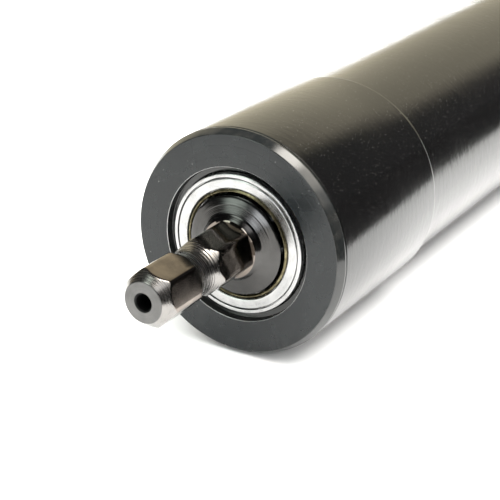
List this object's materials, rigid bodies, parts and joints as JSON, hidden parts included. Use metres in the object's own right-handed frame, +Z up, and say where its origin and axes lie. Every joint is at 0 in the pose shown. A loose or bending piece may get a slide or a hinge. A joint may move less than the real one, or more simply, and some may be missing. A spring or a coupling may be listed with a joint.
{
  "type": "roller shutter motor",
  "caption": "Tubular roller shutter motor with a grooved hexagon output shaft, geared drive inside a black steel tube, crown ring and fixed head.",
  "frame": {"origin": "centre of the outer box in plan, on the surface that the motor lies on", "axes": "shaft points along -Y, head towards +Y, +Z up from the head's lower flat"},
  "size_m": [0.05, 0.3862, 0.045],
  "materials": {
    "housing_tube": "semi-gloss black powder coat",
    "front_cap": "satin machined and blackened, polished chamfer",
    "bearing_outer_ring": "ground bright",
    "bearing_inner_ring": "ground bright",
    "bearing_ball_cage": "ground bright",
    "bearing_shield": "ground bright",
    "brass_dust_ring": "turned",
    "output_shaft": "turned and oiled, dark",
    "shaft_circlip": "bright",
    "ring_gear": "machined",
    "output_carrier": "machined",
    "second_carrier": "machined",
    "first_carrier": "machined",
    "first_planet_1": "machined",
    "first_planet_2": "machined",
    "first_planet_3": "machined",
    "second_planet_1": "machined",
    "second_planet_2": "machined",
    "second_planet_3": "machined",
    "third_planet_1": "machined",
    "third_planet_2": "machined",
    "third_planet_3": "machined",
    "gearbox_cover": "cast",
    "motor_shaft": "bright",
    "rotor_core": "laminated or turned",
    "rotor_cage": "cast",
    "stator_core": "laminated or turned",
    "stator_winding": "enamelled copper wire",
    "front_motor_bracket": "cast",
    "front_motor_bush": "turned",
    "rear_motor_bracket": "cast",
    "rear_motor_bush": "turned",
    "brake_disc": "laminated or turned",
    "brake_armature": "machined",
    "brake_spring": "bright",
    "brake_coil": "enamelled copper wire",
    "brake_magnet_pot": "machined",
    "capacitor": "moulded",
    "capacitor_lid": "moulded, black",
    "capacitor_sleeve": "moulded, grey",
    "limit_frame": "moulded",
    "up_limit_spindle": "bright",
    "up_limit_nut": "moulded, yellow",
    "up_limit_switch": "moulded, black",
    "up_switch_button": "moulded, yellow",
    "down_limit_spindle": "bright",
    "down_limit_nut": "moulded, yellow",
    "down_limit_switch": "moulded, black",
    "down_switch_button": "moulded, yellow",
    "crown_ring": "moulded, grey",
    "tube_end_bush": "moulded, grey",
    "head_body": "moulded, black",
    "head_cover": "moulded, black",
    "cable_gland": "moulded",
    "up_adjusting_screw": "moulded",
    "down_adjusting_screw": "moulded, yellow",
    "left_cover_screw": "bright",
    "right_cover_screw": "bright",
    "left_tube_screw": "bright",
    "right_tube_screw": "bright"
  },
  "bodies": {
    "housing": {"housing_tube": "housing_tube", "front_cap": "front_cap", "bearing_outer_ring": "bearing_outer_ring", "bearing_shield": "bearing_shield", "brass_dust_ring": "brass_dust_ring", "ring_gear": "ring_gear", "gearbox_cover": "gearbox_cover", "stator_core": "stator_core", "stator_winding": "stator_winding", "front_motor_bracket": "front_motor_bracket", "front_motor_bush": "front_motor_bush", "rear_motor_bracket": "rear_motor_bracket", "rear_motor_bush": "rear_motor_bush", "brake_spring": "brake_spring", "brake_coil": "brake_coil", "brake_magnet_pot": "brake_magnet_pot", "capacitor": "capacitor", "capacitor_lid": "capacitor_lid", "capacitor_sleeve": "capacitor_sleeve", "limit_frame": "limit_frame", "up_limit_switch": "up_limit_switch", "down_limit_switch": "down_limit_switch", "tube_end_bush": "tube_end_bush", "head_body": "head_body", "head_cover": "head_cover", "cable_gland": "cable_gland", "left_cover_screw": "left_cover_screw", "right_cover_screw": "right_cover_screw", "left_tube_screw": "left_tube_screw", "right_tube_screw": "right_tube_screw"},
    "rotor": {"motor_shaft": "motor_shaft", "rotor_core": "rotor_core", "rotor_cage": "rotor_cage", "brake_disc": "brake_disc"},
    "first_stage": {"first_carrier": "first_carrier"},
    "second_stage": {"second_carrier": "second_carrier"},
    "output": {"output_shaft": "output_shaft", "output_carrier": "output_carrier", "shaft_circlip": "shaft_circlip", "bearing_inner_ring": "bearing_inner_ring"},
    "ball_cage": {"bearing_ball_cage": "bearing_ball_cage"},
    "first_planet_1": {"first_planet_1": "first_planet_1"},
    "first_planet_2": {"first_planet_2": "first_planet_2"},
    "first_planet_3": {"first_planet_3": "first_planet_3"},
    "second_planet_1": {"second_planet_1": "second_planet_1"},
    "second_planet_2": {"second_planet_2": "second_planet_2"},
    "second_planet_3": {"second_planet_3": "second_planet_3"},
    "third_planet_1": {"third_planet_1": "third_planet_1"},
    "third_planet_2": {"third_planet_2": "third_planet_2"},
    "third_planet_3": {"third_planet_3": "third_planet_3"},
    "armature": {"brake_armature": "brake_armature"},
    "crown": {"crown_ring": "crown_ring"},
    "up_spindle": {"up_limit_spindle": "up_limit_spindle"},
    "up_nut": {"up_limit_nut": "up_limit_nut"},
    "up_button": {"up_switch_button": "up_switch_button"},
    "up_adjuster": {"up_adjusting_screw": "up_adjusting_screw"},
    "down_spindle": {"down_limit_spindle": "down_limit_spindle"},
    "down_nut": {"down_limit_nut": "down_limit_nut"},
    "down_button": {"down_switch_button": "down_switch_button"},
    "down_adjuster": {"down_adjusting_screw": "down_adjusting_screw"}
  },
  "joints": [
    {"name": "rotor_spin", "type": "hinge", "parent": "housing", "child": "rotor", "pos_m": [0, -0.04285, 0.0225], "axis": [0, 1, 0], "continuous": true},
    {"name": "first_carrier_spin", "type": "hinge", "parent": "housing", "child": "first_stage", "pos_m": [0, -0.11285, 0.0225], "axis": [0, 1, 0], "continuous": true},
    {"name": "second_carrier_spin", "type": "hinge", "parent": "housing", "child": "second_stage", "pos_m": [0, -0.12885, 0.0225], "axis": [0, 1, 0], "continuous": true},
    {"name": "output_spin", "type": "hinge", "parent": "housing", "child": "output", "pos_m": [0, -0.15285, 0.0225], "axis": [0, 1, 0], "continuous": true},
    {"name": "ball_cage_spin", "type": "hinge", "parent": "housing", "child": "ball_cage", "pos_m": [0, -0.15885, 0.0225], "axis": [0, 1, 0], "continuous": true},
    {"name": "first_planet_1_spin", "type": "hinge", "parent": "first_stage", "child": "first_planet_1", "pos_m": [0, -0.1066, 0.03246], "axis": [0, 1, 0], "continuous": true},
    {"name": "first_planet_2_spin", "type": "hinge", "parent": "first_stage", "child": "first_planet_2", "pos_m": [-0.00863, -0.1066, 0.01752], "axis": [0, 1, 0], "continuous": true},
    {"name": "first_planet_3_spin", "type": "hinge", "parent": "first_stage", "child": "first_planet_3", "pos_m": [0.00863, -0.1066, 0.01752], "axis": [0, 1, 0], "continuous": true},
    {"name": "second_planet_1_spin", "type": "hinge", "parent": "second_stage", "child": "second_planet_1", "pos_m": [0, -0.1226, 0.03246], "axis": [0, 1, 0], "continuous": true},
    {"name": "second_planet_2_spin", "type": "hinge", "parent": "second_stage", "child": "second_planet_2", "pos_m": [-0.00863, -0.1226, 0.01752], "axis": [0, 1, 0], "continuous": true},
    {"name": "second_planet_3_spin", "type": "hinge", "parent": "second_stage", "child": "second_planet_3", "pos_m": [0.00863, -0.1226, 0.01752], "axis": [0, 1, 0], "continuous": true},
    {"name": "third_planet_1_spin", "type": "hinge", "parent": "output", "child": "third_planet_1", "pos_m": [0, -0.1386, 0.03246], "axis": [0, 1, 0], "continuous": true},
    {"name": "third_planet_2_spin", "type": "hinge", "parent": "output", "child": "third_planet_2", "pos_m": [-0.00863, -0.1386, 0.01752], "axis": [0, 1, 0], "continuous": true},
    {"name": "third_planet_3_spin", "type": "hinge", "parent": "output", "child": "third_planet_3", "pos_m": [0.00863, -0.1386, 0.01752], "axis": [0, 1, 0], "continuous": true},
    {"name": "brake_release", "type": "slide", "parent": "housing", "child": "armature", "axis": [0, 1, 0], "range_m": [0, 0.0005], "stiffness_N_per_m": 300, "springref_m": -0.004},
    {"name": "crown_spin", "type": "hinge", "parent": "housing", "child": "crown", "pos_m": [0, 0.16315, 0.0225], "axis": [0, 1, 0], "range_deg": [-2565, 2565]},
    {"name": "up_spindle_spin", "type": "hinge", "parent": "housing", "child": "up_spindle", "pos_m": [-0.01349, 0.13715, 0.0225], "axis": [0, 1, 0], "range_deg": [-11401, 11401]},
    {"name": "up_nut_travel", "type": "slide", "parent": "housing", "child": "up_nut", "axis": [0, 1, 0], "range_m": [-0.00802, 0.00802]},
    {"name": "up_button_press", "type": "slide", "parent": "housing", "child": "up_button", "axis": [0, 0, -1], "range_m": [0, 0.0008], "stiffness_N_per_m": 100},
    {"name": "up_adjuster_turn", "type": "hinge", "parent": "housing", "child": "up_adjuster", "pos_m": [-0.0115, 0.18315, 0.036], "axis": [0, 1, 0], "range_deg": [-1080, 1080]},
    {"name": "down_spindle_spin", "type": "hinge", "parent": "housing", "child": "down_spindle", "pos_m": [0.01349, 0.13715, 0.0225], "axis": [0, 1, 0], "range_deg": [-11401, 11401]},
    {"name": "down_nut_travel", "type": "slide", "parent": "housing", "child": "down_nut", "axis": [0, 1, 0], "range_m": [-0.00802, 0.00802]},
    {"name": "down_button_press", "type": "slide", "parent": "housing", "child": "down_button", "axis": [0, 0, -1], "range_m": [0, 0.0008], "stiffness_N_per_m": 100},
    {"name": "down_adjuster_turn", "type": "hinge", "parent": "housing", "child": "down_adjuster", "pos_m": [0.0115, 0.18315, 0.036], "axis": [0, 1, 0], "range_deg": [-1080, 1080]}
  ],
  "couplings": [
    {"joint": "first_carrier_spin", "follows": "rotor_spin", "ratio": 0.1875},
    {"joint": "second_carrier_spin", "follows": "rotor_spin", "ratio": 0.035156},
    {"joint": "output_spin", "follows": "rotor_spin", "ratio": 0.0065918},
    {"joint": "ball_cage_spin", "follows": "rotor_spin", "ratio": 0.0028251},
    {"joint": "first_planet_1_spin", "follows": "rotor_spin", "ratio": -0.4875},
    {"joint": "first_planet_2_spin", "follows": "rotor_spin", "ratio": -0.4875},
    {"joint": "first_planet_3_spin", "follows": "rotor_spin", "ratio": -0.4875},
    {"joint": "second_planet_1_spin", "follows": "rotor_spin", "ratio": -0.091406},
    {"joint": "second_planet_2_spin", "follows": "rotor_spin", "ratio": -0.091406},
    {"joint": "second_planet_3_spin", "follows": "rotor_spin", "ratio": -0.091406},
    {"joint": "third_planet_1_spin", "follows": "rotor_spin", "ratio": -0.017139},
    {"joint": "third_planet_2_spin", "follows": "rotor_spin", "ratio": -0.017139},
    {"joint": "third_planet_3_spin", "follows": "rotor_spin", "ratio": -0.017139},
    {"joint": "up_spindle_spin", "follows": "crown_spin", "ratio": 4.4444},
    {"joint": "up_nut_travel", "follows": "crown_spin", "m_per_rad": 0.00017684},
    {"joint": "down_spindle_spin", "follows": "crown_spin", "ratio": 4.4444},
    {"joint": "down_nut_travel", "follows": "crown_spin", "m_per_rad": 0.00017684}
  ]
}
